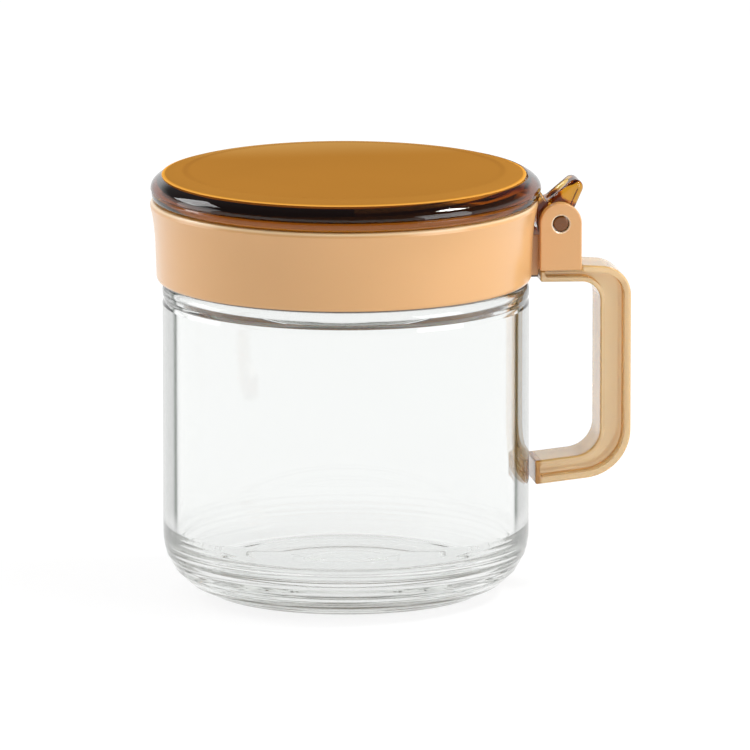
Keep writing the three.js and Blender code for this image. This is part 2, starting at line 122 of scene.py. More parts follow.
def closeTree(tree, geometry, finish):
    realize = addNode(tree, "GeometryNodeRealizeInstances")
    paint = addNode(tree, "GeometryNodeSetMaterial")
    tree.links.new(geometry, realize.inputs["Geometry"])
    tree.links.new(realize.outputs[0], paint.inputs["Geometry"])
    tree.links.new(finish, paint.inputs["Material"])
    tree.links.new(paint.outputs[0], addNode(tree, "NodeGroupOutput").inputs[0])


def turnedTree():
    # Sweeps a profile of (radius, shift share, height) round the Z axis, with a grid column for each point.
    tree, given = newTree("turnedPiece", [
        ("Profile", "Object"), ("Steps", "Int"), ("Shift", "Float"), ("Finish", "Material")])
    link = tree.links.new
    profile = addNode(tree, "GeometryNodeObjectInfo")
    count = addNode(tree, "GeometryNodeAttributeDomainSize")
    grid = addNode(tree, "GeometryNodeMeshGrid")
    link(given["Profile"], profile.inputs["Object"])
    link(profile.outputs["Geometry"], count.inputs[0])
    last = mathNode(tree, "SUBTRACT", count.outputs["Point Count"], 1)
    link(last, grid.inputs["Size X"])
    link(given["Steps"], grid.inputs["Size Y"])
    link(count.outputs["Point Count"], grid.inputs["Vertices X"])
    link(mathNode(tree, "ADD", given["Steps"], 1), grid.inputs["Vertices Y"])
    place = addNode(tree, "ShaderNodeSeparateXYZ")
    link(addNode(tree, "GeometryNodeInputPosition").outputs[0], place.inputs[0])
    fromMiddle = mathNode(tree, "ADD", place.outputs["X"], mathNode(tree, "MULTIPLY", last, 0.5))
    index = mathNode(tree, "ROUND", fromMiddle)
    share = mathNode(tree, "DIVIDE", place.outputs["Y"], given["Steps"])
    angle = mathNode(tree, "MULTIPLY", share, -2 * math.pi)
    sample = addNode(tree, "GeometryNodeSampleIndex", data_type="FLOAT_VECTOR")
    link(profile.outputs["Geometry"], sample.inputs["Geometry"])
    link(addNode(tree, "GeometryNodeInputPosition").outputs[0], sample.inputs["Value"])
    link(index, sample.inputs["Index"])
    corner = addNode(tree, "ShaderNodeSeparateXYZ")
    link(sample.outputs[0], corner.inputs[0])
    across = mathNode(tree, "MULTIPLY", corner.outputs["X"], mathNode(tree, "COSINE", angle))
    shifted = mathNode(tree, "ADD", across, mathNode(tree, "MULTIPLY", corner.outputs["Y"], given["Shift"]))
    turned = addNode(tree, "ShaderNodeCombineXYZ")
    link(shifted, turned.inputs["X"])
    link(mathNode(tree, "MULTIPLY", corner.outputs["X"], mathNode(tree, "SINE", angle)), turned.inputs["Y"])
    link(corner.outputs["Z"], turned.inputs["Z"])
    move = addNode(tree, "GeometryNodeSetPosition")
    link(grid.outputs["Mesh"], move.inputs["Geometry"])
    link(turned.outputs[0], move.inputs["Position"])
    weld = addNode(tree, "GeometryNodeMergeByDistance")
    weld.inputs["Distance"].default_value = weldDistance * mm
    link(move.outputs[0], weld.inputs["Geometry"])
    closeTree(tree, weld.outputs[0], given["Finish"])
    return tree


def threadTree():
    # Round ridges that climb the neck, each faded out at both ends, repeated for every start.
    tree, given = newTree("screwThread", [
        ("Radius", "Float"), ("Ridge", "Float"), ("Foot", "Float"), ("Lead", "Float"), ("Sweep", "Float"),
        ("Fade", "Float"), ("Starts", "Int"), ("Steps", "Int"), ("Finish", "Material")])
    link = tree.links.new
    line = addNode(tree, "GeometryNodeCurvePrimitiveLine")
    points = addNode(tree, "GeometryNodeResampleCurve")
    link(line.outputs[0], points.inputs["Curve"])
    link(given["Steps"], points.inputs["Count"])
    along = addNode(tree, "GeometryNodeSplineParameter").outputs["Factor"]
    angle = mathNode(tree, "MULTIPLY", along, given["Sweep"])
    spot = addNode(tree, "ShaderNodeCombineXYZ")
    link(mathNode(tree, "MULTIPLY", given["Radius"], mathNode(tree, "COSINE", angle)), spot.inputs["X"])
    link(mathNode(tree, "MULTIPLY", given["Radius"], mathNode(tree, "SINE", angle)), spot.inputs["Y"])
    risen = mathNode(tree, "MULTIPLY", given["Lead"], mathNode(tree, "DIVIDE", angle, 2 * math.pi))
    link(mathNode(tree, "ADD", given["Foot"], risen), spot.inputs["Z"])
    move = addNode(tree, "GeometryNodeSetPosition")
    link(points.outputs[0], move.inputs["Geometry"])
    link(spot.outputs[0], move.inputs["Position"])
    fromEnd = mathNode(tree, "MINIMUM", along, mathNode(tree, "SUBTRACT", 1, along))
    swell = mathNode(tree, "DIVIDE", fromEnd, given["Fade"], clamp=True)
    ridge = addNode(tree, "GeometryNodeCurvePrimitiveCircle")
    ridge.inputs["Resolution"].default_value = 14
    link(given["Ridge"], ridge.inputs["Radius"])
    sweep = addNode(tree, "GeometryNodeCurveToMesh")
    sweep.inputs["Fill Caps"].default_value = True
    link(move.outputs[0], sweep.inputs["Curve"])
    link(ridge.outputs["Curve"], sweep.inputs["Profile Curve"])
    least = 0.3
    thickness = mathNode(tree, "MULTIPLY", mathNode(tree, "SQRT", swell), 1 - least)
    link(mathNode(tree, "ADD", thickness, least), sweep.inputs["Scale"])
    starts = addNode(tree, "GeometryNodeMeshLine")
    starts.inputs["Offset"].default_value = (0, 0, 0)
    link(given["Starts"], starts.inputs["Count"])
    turn = addNode(tree, "ShaderNodeCombineXYZ")
    share = mathNode(tree, "DIVIDE", addNode(tree, "GeometryNodeInputIndex").outputs[0], given["Starts"])
    link(mathNode(tree, "MULTIPLY", share, 2 * math.pi), turn.inputs["Z"])
    copies = addNode(tree, "GeometryNodeInstanceOnPoints")
    link(starts.outputs[0], copies.inputs["Points"])
    link(sweep.outputs[0], copies.inputs["Instance"])
    link(turn.outputs[0], copies.inputs["Rotation"])
    closeTree(tree, copies.outputs[0], given["Finish"])
    return tree


def meshObject(name, mesh):
    piece = bpy.data.objects.new(name, mesh)
    scene.collection.objects.link(piece)
    return piece


def baked(piece, name):
    # The piece with its modifiers as a plain mesh of its own
    graph = bpy.context.evaluated_depsgraph_get()
    graph.update()
    mesh = bpy.data.meshes.new_from_object(
        piece.evaluated_get(graph), preserve_all_data_layers=True, depsgraph=graph)
    bpy.data.objects.remove(piece)
    mesh.name = name
    return meshObject(name, mesh)


def runTree(name, tree, values):
    piece = meshObject(name + "Seed", bpy.data.meshes.new(name + "Seed"))
    modifier = piece.modifiers.new("shape", "NODES")
    modifier.node_group = tree
    for item in tree.interface.items_tree:
        if item.in_out == "INPUT" and item.name in values:
            modifier[item.identifier] = values[item.name]
    return baked(piece, name)


def turned(name, points, material, steps=160, shift=0.0):
    # A point is (radius, height) or (radius, height, shift share).
    mesh = bpy.data.meshes.new(name + "Profile")
    corners = [(p[0] * mm, p[2] if len(p) > 2 else 0, p[1] * mm) for p in points]
    mesh.from_pydata(corners, [(i, i + 1) for i in range(len(corners) - 1)], [])
    profile = meshObject(name + "Profile", mesh)
    piece = runTree(name, turnedPiece, {
        "Profile": profile, "Steps": steps, "Shift": shift * mm, "Finish": material})
    bpy.data.objects.remove(profile)
    return piece


def plate(name, outline, half, edge, material, middle=0.0, edgeSteps=3):
    # A flat plate with an outline in X and Z, and with rounded edges
    curve = bpy.data.curves.new(name, "CURVE")
    curve.dimensions = "2D"
    curve.fill_mode = "BOTH"
    curve.extrude = (half - edge) * mm
    curve.bevel_depth = edge * mm
    curve.bevel_resolution = edgeSteps
    curve.offset = -edge * mm
    spline = curve.splines.new("POLY")
    spline.points.add(len(outline) - 1)
    for point, (x, z) in zip(spline.points, outline):
        point.co = (x * mm, z * mm, 0, 1)
    spline.use_cyclic_u = True
    flat = bpy.data.objects.new(name + "Curve", curve)
    scene.collection.objects.link(flat)
    piece = baked(flat, name)
    piece.data.transform(Matrix.Translation((0, middle * mm, 0)) @ quarterTurn)
    piece.data.materials.clear()
    piece.data.materials.append(material)
    cleaned(piece)
    return piece


def cleaned(piece):
    form = bmesh.new()
    form.from_mesh(piece.data)
    bmesh.ops.remove_doubles(form, verts=form.verts, dist=weldDistance * mm)
    bmesh.ops.dissolve_degenerate(form, edges=form.edges, dist=weldDistance * mm)
    bmesh.ops.recalc_face_normals(form, faces=form.faces)
    form.to_mesh(piece.data)
    form.free()


def rod(name, centre, radius, half, material, steps=64):
    outline = [(centre[0] + radius * math.cos(a), centre[1] + radius * math.sin(a))
               for a in (2 * math.pi * i / steps for i in range(steps))]
    return plate(name, outline, half, 0.02, material, edgeSteps=0)


def combined(piece, others, operation, name=None):
    for other in others:
        modifier = piece.modifiers.new(operation, "BOOLEAN")
        modifier.operation = operation
        modifier.solver = "MANIFOLD"
        modifier.object = other
    whole = baked(piece, name or piece.name)
    for other in others:
        bpy.data.objects.remove(other)
    return whole


def finished(piece, sharpAngle=35, softEdge=0.0):
    # Smooth shading with crisp creases, and flat faces that stay flat
    if softEdge:
        bevel = piece.modifiers.new("softEdge", "BEVEL")
        bevel.width = softEdge * mm
        bevel.segments = 2
        bevel.limit_method = "ANGLE"
        bevel.angle_limit = math.radians(40)
        bevel.harden_normals = False
        piece = baked(piece, piece.name)
    mesh = piece.data
    form = bmesh.new()
    form.from_mesh(mesh)
    for face in form.faces:
        face.smooth = True
    for edge in form.edges:
        edge.smooth = len(edge.link_faces) == 2 and edge.calc_face_angle(0) < math.radians(sharpAngle)
    form.to_mesh(mesh)
    form.free()
    weigh = piece.modifiers.new("flatFaces", "WEIGHTED_NORMAL")
    weigh.keep_sharp = True
    return baked(piece, piece.name)


# Shader node groups

def newShaderGroup(name, inputs, outputs):
    tree = bpy.data.node_groups.new(name, "ShaderNodeTree")
    for label, kind, value in inputs:
        socket = tree.interface.new_socket(label, in_out="INPUT", socket_type="NodeSocket" + kind)
        if value is not None:
            socket.default_value = value
    for label, kind in outputs:
        tree.interface.new_socket(label, in_out="OUTPUT", socket_type="NodeSocket" + kind)
    return tree, addNode(tree, "NodeGroupInput").outputs, addNode(tree, "NodeGroupOutput").inputs


def noiseNode(tree, vector, scale, detail=3.0, roughness=0.5):
    node = addNode(tree, "ShaderNodeTexNoise")
    node.inputs["Detail"].default_value = detail
    node.inputs["Roughness"].default_value = roughness
    tree.links.new(vector, node.inputs["Vector"])
    if isinstance(scale, bpy.types.NodeSocket):
        tree.links.new(scale, node.inputs["Scale"])
    else:
        node.inputs["Scale"].default_value = scale
    return node.outputs[0]


def rangeNode(tree, value, low, high, toLow=0.0, toHigh=1.0, smooth=False):
    node = addNode(tree, "ShaderNodeMapRange", interpolation_type="SMOOTHSTEP" if smooth else "LINEAR")
    tree.links.new(value, node.inputs["Value"])
    for label, number in (("From Min", low), ("From Max", high), ("To Min", toLow), ("To Max", toHigh)):
        node.inputs[label].default_value = number
    return node.outputs[0]


def bandNode(tree, value, band, toLow=0.0, toHigh=1.0, smooth=True):
    # A band is (from, to) in millimetres.
    return rangeNode(tree, value, band[0] * mm, band[1] * mm, toLow, toHigh, smooth)


def placeNode(tree, vector):
    place = addNode(tree, "ShaderNodeSeparateXYZ")
    tree.links.new(vector, place.inputs[0])
    return place.outputs


def mixNode(tree, factor, first, second, blend="MIX"):
    node = addNode(tree, "ShaderNodeMix", data_type="RGBA", blend_type=blend)
    sockets = node.inputs["Factor"], node.inputs[6], node.inputs[7]
    for socket, value in zip(sockets, (factor, first, second)):
        if isinstance(value, bpy.types.NodeSocket):
            tree.links.new(value, socket)
        else:
            socket.default_value = value
    return node.outputs[2]


def handledGlossGroup():
    # Faint finger smudges and hair scratches: a roughness and a height
    tree, given, out = newShaderGroup("handledGloss", [
        ("Vector", "Vector", None), ("Gloss", "Float", 0.12),
        ("Smudge", "Float", 0.08), ("Scratch", "Float", 0.3)],
        [("Roughness", "Float"), ("Height", "Float")])
    smudge = rangeNode(tree, noiseNode(tree, given["Vector"], 38, 4, 0.6), 0.45, 0.75, smooth=True)
    streaks = addNode(tree, "ShaderNodeMapping")
    streaks.inputs["Scale"].default_value = (60, 900, 60)
    streaks.inputs["Rotation"].default_value = (0.3, 0.8, 0.5)
    tree.links.new(given["Vector"], streaks.inputs["Vector"])
    scratch = rangeNode(tree, noiseNode(tree, streaks.outputs[0], 1, 2), 0.66, 0.74, smooth=True)
    rough = mathNode(tree, "ADD", given["Gloss"], mathNode(tree, "MULTIPLY", smudge, given["Smudge"]))
    tree.links.new(mathNode(tree, "ADD", rough, mathNode(tree, "MULTIPLY", scratch, 0.06)), out["Roughness"])
    grain = mathNode(tree, "MULTIPLY", noiseNode(tree, given["Vector"], 700, 2), 0.25)
    worn = mathNode(tree, "MULTIPLY", mathNode(tree, "MULTIPLY", scratch, given["Scratch"]), -1)
    tree.links.new(mathNode(tree, "ADD", grain, worn), out["Height"])
    return tree


def mouldedToneGroup():
    # Slow drifts of a resin's colour and fine specks in it
    tree, given, out = newShaderGroup("mouldedTone", [
        ("Vector", "Vector", None), ("Color", "Color", (1, 1, 1, 1)),
        ("Drift", "Float", 0.05), ("Speck", "Float", 0.1)],
        [("Color", "Color")])
    slow = rangeNode(tree, noiseNode(tree, given["Vector"], 16, 2), 0.3, 0.7, -1, 1)
    speck = rangeNode(tree, noiseNode(tree, given["Vector"], 1600, 1), 0.74, 0.8)
    level = mathNode(tree, "ADD", mathNode(tree, "MULTIPLY", slow, given["Drift"]), 1)
    level = mathNode(tree, "SUBTRACT", level, mathNode(tree, "MULTIPLY", speck, given["Speck"]))
    grey = addNode(tree, "ShaderNodeCombineColor")
    for label in ("Red", "Green", "Blue"):
        tree.links.new(level, grey.inputs[label])
    tree.links.new(mixNode(tree, 1.0, given["Color"], grey.outputs[0], "MULTIPLY"), out["Color"])
    return tree


def jarPlacesGroup():
    # The distances that the colours follow: radius from an upright axis, and height
    tree, given, out = newShaderGroup("jarPlaces", [
        ("Vector", "Vector", None), ("Axis X", "Float", 0.0)],
        [("Radius", "Float"), ("Height", "Float")])
    place = placeNode(tree, given["Vector"])
    x = mathNode(tree, "SUBTRACT", place["X"], given["Axis X"])
    y = place["Y"]
    square = mathNode(tree, "ADD", mathNode(tree, "MULTIPLY", x, x), mathNode(tree, "MULTIPLY", y, y))
    tree.links.new(mathNode(tree, "SQRT", square), out["Radius"])
    tree.links.new(place["Z"], out["Height"])
    return tree


handledGloss = handledGlossGroup()
mouldedTone = mouldedToneGroup()
jarPlaces = jarPlacesGroup()


def newMaterial(name, **sockets):
    material = bpy.data.materials.new(name)
    material.use_nodes = True
    tree = material.node_tree
    shader = tree.nodes["Principled BSDF"]
    for label, value in sockets.items():
        shader.inputs[label].default_value = value
    vector = addNode(tree, "ShaderNodeTexCoord").outputs["Object"]
    return material, tree, shader, vector


def useGroup(tree, group, **values):
    node = addNode(tree, "ShaderNodeGroup", node_tree=group)
    for label, value in values.items():
        socket = node.inputs[label.replace("_", " ")]
        if isinstance(value, bpy.types.NodeSocket):
            tree.links.new(value, socket)
        else:
            socket.default_value = value
    return node.outputs


def bumpInto(tree, shader, height, distance, strength=1.0):
    bump = addNode(tree, "ShaderNodeBump")
    bump.inputs["Distance"].default_value = distance * mm
    bump.inputs["Strength"].default_value = strength
    tree.links.new(height, bump.inputs["Height"])
    tree.links.new(bump.outputs[0], shader.inputs["Normal"])


def colouredShader(tree, shader, vector, color, drift, speck, gloss, smudge, scratch, depth, strength):
    # Colour with drifts and specks, and the wear of a handled surface in gloss and bump
    tone = useGroup(tree, mouldedTone, Vector=vector, Color=color, Drift=drift, Speck=speck)
    tree.links.new(tone["Color"], shader.inputs["Base Color"])
    wornShader(tree, shader, vector, gloss, smudge, scratch, depth, strength)


def wornShader(tree, shader, vector, gloss, smudge, scratch, depth, strength):
    worn = useGroup(tree, handledGloss, Vector=vector, Gloss=gloss, Smudge=smudge, Scratch=scratch)
    tree.links.new(worn["Roughness"], shader.inputs["Roughness"])
    bumpInto(tree, shader, worn["Height"], depth, strength)


def absorbingVolume(tree, look):
    volume = addNode(tree, "ShaderNodeVolumeAbsorption")
    volume.inputs["Color"].default_value = look["tint"]
    volume.inputs["Density"].default_value = look["density"]
    tree.links.new(volume.outputs[0], tree.nodes["Material Output"].inputs["Volume"])


def srgb(*levels):
    parts = [level / 255 for level in levels]
    return tuple(part / 12.92 if part <= 0.04 else ((part + 0.055) / 1.055) ** 2.4 for part in parts) + (1,)


# Sizes of the pieces, in millimetres and degrees. Both shift values move a round form along X.

jar = {
    "bodyRadius": 50.0, "wall": 3.6, "footRadius": 31.8, "footWidth": 3.6, "footRise": 0.6, "footRound": 0.7,
    "heel": 16.6, "insideHeelRun": 13.5, "insideHeelHeight": 12.5, "floor": 7.4, "crown": 0.8, "steps": 180,
    "groove": 81.5, "grooveDepth": 0.35, "grooveHalf": 1.3, "bead": 86.0, "neck": 46.4, "bore": 43.2,
    "lip": 98.1, "lipRound": 1.2, "wave": 0.010, "ring": 36.5,
    "ringPath": ((1.3, 0.85), (1.0, 0.2), (0.3, -0.6), (-0.3, -0.6), (-1.0, 0.1), (-1.3, 0.75), (-2.0, 0.15),
                 (-4.0, 0.1)),
    "lensPath": ((22, 0.2), (15.3, 0.15), (14.6, 0.65), (13.8, 0.5), (7, 0.7)),
}
thread = {
    "ridge": 1.15, "foot": 90.0, "lead": 12.0, "sweep": 100.0, "fade": 0.16, "starts": 3, "steps": 60,
    "neckDepth": 0.3, "collarDepth": 0.4, "collarDrop": 2,
}
collar = {
    "shift": -0.5, "bore": 48.5, "seat": 47.85, "deckTop": 101.6, "deckUnderside": 99.9, "deckBore": 42.8,
    "foot": 86.3, "crest": 108.5, "steps": 180,
}
hinge = {
    "pin": (58.05, 101.4), "pinRadius": 2.05, "pinGap": 0.3, "pinSink": 0.2, "pinRound": 0.45,
    "earRadius": 5.75, "earFoot": 88.5, "earInner": 5.5, "earThickness": 2.9, "seatRadius": 6.55,
    "stepHead": 94.2, "spineHead": 98.0, "spineHalf": 4.9, "boreChamfer": 0.3,
}
handle = {
    "half": 7.1, "edge": 0.6, "outer": 77.7, "inner": 69.2, "end": 51.3, "webHalf": 3.2, "tongueHalf": 1.6,
    "outerFlange": 1.8, "innerFlange": 1.2, "endWall": 1.3, "recessRound": 0.9, "gap": 0.3, "softEdge": 0.3,
}
lid = {
    "radius": 53.2, "top": 116.5, "flat": 42.8, "widest": 111.7, "plate": 2.6, "foot": 108.8,
    "footRadius": 52.9, "shift": -0.5, "steps": 200, "rimBore": 49.3, "edgeTurn": 48.0, "skirt": 0.4,
    "plugOuter": 46.4, "plugWall": 2.0, "plugFoot": 101.9, "sealHeight": 102.7, "sealRoom": 1.6,
    "sealDepth": 1.2, "armHalf": 5.2, "armReach": 6.15, "knuckle": 5.45, "lever": (62.7, 110.7),
    "leverRadius": 2.1, "leverRoll": 1.7, "leverRoot": (54.8, 106.8), "leverSlope": 40, "leverLean": -23,
    "dishMiddle": 4.6, "dish": (4.0, 3.2, 0.8),
}
gasket = {"inner": 43.5, "outer": 46.6, "foot": 98.4, "height": 1.2, "corner": 0.35}
seal = {"inner": 45.5, "outer": 47.5, "foot": 103.0, "height": 1.0, "corner": 0.3}


# Finishes. The ones that end in From are bands in millimetres, over which one tone passes into another.

# The peach carries painted light: a highlight tone on the collar's top round, a shade tone at its foot and a
# highlight ring round the pin's bore.
peachFinish = {
    "color": srgb(220, 168, 110), "crest": srgb(246, 212, 166), "boreHighlight": srgb(255, 232, 200),
    "foot": srgb(70, 52, 34), "gloss": 0.28, "drift": 0.03, "speck": 0.05,
    "crestHighlightFrom": (107.5, 108.2), "footShadeFrom": (86.95, 86.75), "boreHighlightFrom": (2.72, 2.6),
}
# The amber carries painted light: a sheen tone at the back, a glow tone on the edge and side, a shade tone on
# the skirt and a glow tone at its foot.
amberFinish = {
    "top": srgb(171, 117, 48), "ring": srgb(174, 120, 50), "back": srgb(187, 140, 75),
    "line": srgb(158, 106, 44), "edge": srgb(216, 150, 58), "under": srgb(172, 116, 46),
    "side": srgb(232, 168, 76), "skirt": srgb(34, 12, 0), "skirtFoot": srgb(255, 228, 160),
    "ringFrom": (43.4, 45.0), "backSheenFrom": (18, 46), "edgeGlowFrom": (48.6, 48.9), "underFrom": (114.2, 114.0),
    "lineFrom": (41.6, 43.0), "lineEndFrom": (44.4, 43.4), "lineBackFrom": (-30, 10),
    "sideFrom": (49.1, 49.2), "skirtShadeFrom": (114.5, 114.1), "skirtFootGlowFrom": (111.2, 110.8),
}
# In the clear amber, the edge colour is painted shade that the slant to the eye mixes in at grazing angles; the
# tint and density absorb for real.
leverFinish = {
    "face": (0.98, 0.9, 0.74, 1), "edge": (0.42, 0.2, 0.06, 1), "tint": (0.89, 0.73, 0.14, 1),
    "density": 420, "slant": (0.55, 0.95),
}
rimFinish = {
    "face": (0.98, 0.9, 0.74, 1), "edge": (0.2, 0.08, 0.02, 1), "tint": (0.87, 0.72, 0.12, 1),
    "density": 1150, "slant": (0.55, 0.95),
}
# Painted light in the champagne: the web and side tones are lightened against shade, and the edge tone is a
# painted highlight on the rolled edges.
champagneFinish = {
    "web": srgb(250, 224, 180), "flange": srgb(250, 216, 168), "edge": srgb(246, 200, 132),
    "side": srgb(246, 212, 152), "end": srgb(196, 138, 62),
    "webFrom": (4.6, 3.6), "endFrom": (53.4, 52.2), "endHeightFrom": (45, 40),
    "rolledEdgeHighlight": (0.985, 0.85), "sideways": (0.35, 0.1),
}
brownFinish = {"color": srgb(116, 68, 20)}
siliconeFinish = {"color": srgb(236, 233, 226)}
# The glass's edge colour is painted shade, mixed in by the slant to the eye and weaker in the heel; the tint
# and density absorb for real.
glassFinish = {  # The line, rest, rim and grazed pairs are shares of the slant to the eye.
    "face": (0.93, 0.938, 0.934, 1), "edge": (0.03, 0.04, 0.03, 1), "tint": (0.35, 0.43, 0.30, 1),
    "density": 2.6, "ripple": 0.05, "line": (0.60, 0.635), "rest": (0.64, 0.69), "restLevel": 0.7,
    "rim": (0.84, 0.97), "rimLevel": 0.3, "grazed": (0.78, 0.98), "heelFrom": (14, 26), "heelLevel": 0.05,
}


def peachMaterial():
    material, tree, shader, vector = newMaterial("peachPlastic", **{
        "Coat Weight": 0.5, "Coat Roughness": 0.18, "Subsurface Weight": 0.08,
        "Subsurface Radius": (1, 0.45, 0.2), "Subsurface Scale": 2.0 * mm})
    f = peachFinish
    place = placeNode(tree, vector)
    # Painted highlight: the crest tone lightens the collar's top round, where the top lamps catch it.
    color = mixNode(tree, bandNode(tree, place["Z"], f["crestHighlightFrom"]), f["color"], f["crest"])
    aside, above = (mathNode(tree, "SUBTRACT", place[axis], middle * mm)
                    for axis, middle in zip("XZ", hinge["pin"]))
    square = mathNode(tree, "ADD", mathNode(tree, "MULTIPLY", aside, aside),
                      mathNode(tree, "MULTIPLY", above, above))
    fromPin = mathNode(tree, "SQRT", square)
    # Painted shade: a dark rim at the collar's foot, where it meets the glass.
    color = mixNode(tree, bandNode(tree, place["Z"], f["footShadeFrom"], smooth=False), color, f["foot"])
    # Painted highlight: a thin pale ring on the chamfer round the pin's bore.
    color = mixNode(tree, bandNode(tree, fromPin, f["boreHighlightFrom"], smooth=False), color, f["boreHighlight"])
    colouredShader(tree, shader, vector, color, f["drift"], f["speck"], f["gloss"], 0.06, 0.4, 0.01, 0.5)
    return material


def amberMaterial():
    # Amber resin that looks solid: an even middle with a painted sheen that is lightest at the back, a faint
    # darker arc by the ring, a painted glow on the bright edge, and a skirt painted dark as shade with a
    # painted glow at its foot
    material, tree, shader, vector = newMaterial("amberPlastic", **{
        "Coat Roughness": 0.1, "Specular IOR Level": 0.0})
    f = amberFinish
    places = useGroup(tree, jarPlaces, Vector=vector, Axis_X=lid["shift"] * mm)
    height, radius = places["Height"], places["Radius"]
    depth = placeNode(tree, vector)["Y"]
    tone = mixNode(tree, bandNode(tree, radius, f["ringFrom"]), f["top"], f["ring"])
    # Painted reflection: the back tone is a sheen that grows towards the back of the cover.
    tone = mixNode(tree, bandNode(tree, depth, f["backSheenFrom"]), tone, f["back"])
    line = mathNode(tree, "MULTIPLY", bandNode(tree, radius, f["lineFrom"]),
                    bandNode(tree, radius, f["lineEndFrom"], 0, 0.5))
    line = mathNode(tree, "MULTIPLY", line, bandNode(tree, depth, f["lineBackFrom"]))
    tone = mixNode(tree, line, tone, f["line"])
    # Painted glow: the edge and side tones are a golden line where light shows through the cover's edge.
    tone = mixNode(tree, bandNode(tree, radius, f["edgeGlowFrom"]), tone, f["edge"])
    tone = mixNode(tree, bandNode(tree, height, f["underFrom"], smooth=False), tone, f["under"])
    # Painted shade and glow on the skirt behind the clear rim: near black below the golden line, bright at its
    # foot.
    skirt = mixNode(tree, bandNode(tree, height, f["skirtShadeFrom"], smooth=False), f["side"], f["skirt"])
    skirt = mixNode(tree, bandNode(tree, height, f["skirtFootGlowFrom"], smooth=False), skirt, f["skirtFoot"])
    tone = mixNode(tree, bandNode(tree, radius, f["sideFrom"], smooth=False), tone, skirt)
    colouredShader(tree, shader, vector, tone, 0.05, 0.03, 0.05, 0.05, 0.3, 0.008, 0.4)
    return material


def clearAmberMaterial(name, look):
    # The same resin where it is clear enough to look through. Its colour darkens towards grazing slants to the
    # eye, painted shade on top of the real absorption.
    material, tree, shader, vector = newMaterial(name, **{"Transmission Weight": 1.0, "IOR": 1.49})
    facing = addNode(tree, "ShaderNodeLayerWeight").outputs["Facing"]
    slant = rangeNode(tree, facing, *look["slant"], smooth=True)
    tree.links.new(mixNode(tree, slant, look["face"], look["edge"]), shader.inputs["Base Color"])
    wornShader(tree, shader, vector, 0.01, 0.02, 0.2, 0.006, 0.3)
    absorbingVolume(tree, look)
    return material


def champagneMaterial():
    # Pale resin that lets light in. The web and the top, inner and outer faces are lightened as painted light
    # against the shade in the recesses and on the lower arm, the rolled edges carry a painted golden highlight,
    # and the lower arm's end is a darker gold.
    material, tree, shader, vector = newMaterial("champagnePlastic", **{
        "Coat Weight": 0.25, "Coat Roughness": 0.03, "Transmission Weight": 0.5, "IOR": 1.49,
        "Subsurface Weight": 0.3, "Subsurface Radius": (1, 0.8, 0.55), "Subsurface Scale": 4.0 * mm})
    f = champagneFinish
    place = placeNode(tree, vector)
    lean = placeNode(tree, vector.node.outputs["Normal"])
    sideways = mathNode(tree, "ABSOLUTE", lean["Y"])
    web = bandNode(tree, mathNode(tree, "ABSOLUTE", place["Y"]), f["webFrom"])
    # Painted light: the web is lightened against the shade in its recess.
    tone = mixNode(tree, web, f["flange"], f["web"])
    # Painted highlight: a golden tone on the rolled edges.
    tone = mixNode(tree, rangeNode(tree, sideways, *f["rolledEdgeHighlight"], smooth=True), tone, f["edge"])
    # Painted light: the top, inner and outer faces are lightened against the shade on the lower arm.
    tone = mixNode(tree, rangeNode(tree, sideways, *f["sideways"], smooth=True), tone, f["side"])
    end = mathNode(tree, "MULTIPLY", bandNode(tree, place["X"], f["endFrom"]),
                   bandNode(tree, place["Z"], f["endHeightFrom"], smooth=False))
    tone = mixNode(tree, end, tone, f["end"])
    colouredShader(tree, shader, vector, tone, 0.04, 0.03, 0.12, 0.08, 0.4, 0.01, 0.5)
    return material


def brownMaterial():
    material, tree, shader, vector = newMaterial("brownPlastic", **{
        "Coat Weight": 0.15, "Coat Roughness": 0.08})
    colouredShader(tree, shader, vector, brownFinish["color"], 0.15, 0.1, 0.25, 0.1, 0.5, 0.01, 0.6)
    return material


def siliconeMaterial():
    material, tree, shader, vector = newMaterial("clearSilicone", **{
        "Subsurface Weight": 0.3, "Subsurface Scale": 1.5 * mm})
    colouredShader(tree, shader, vector, siliconeFinish["color"], 0.03, 0.05, 0.45, 0.15, 0.1, 0.02, 0.5)
    return material


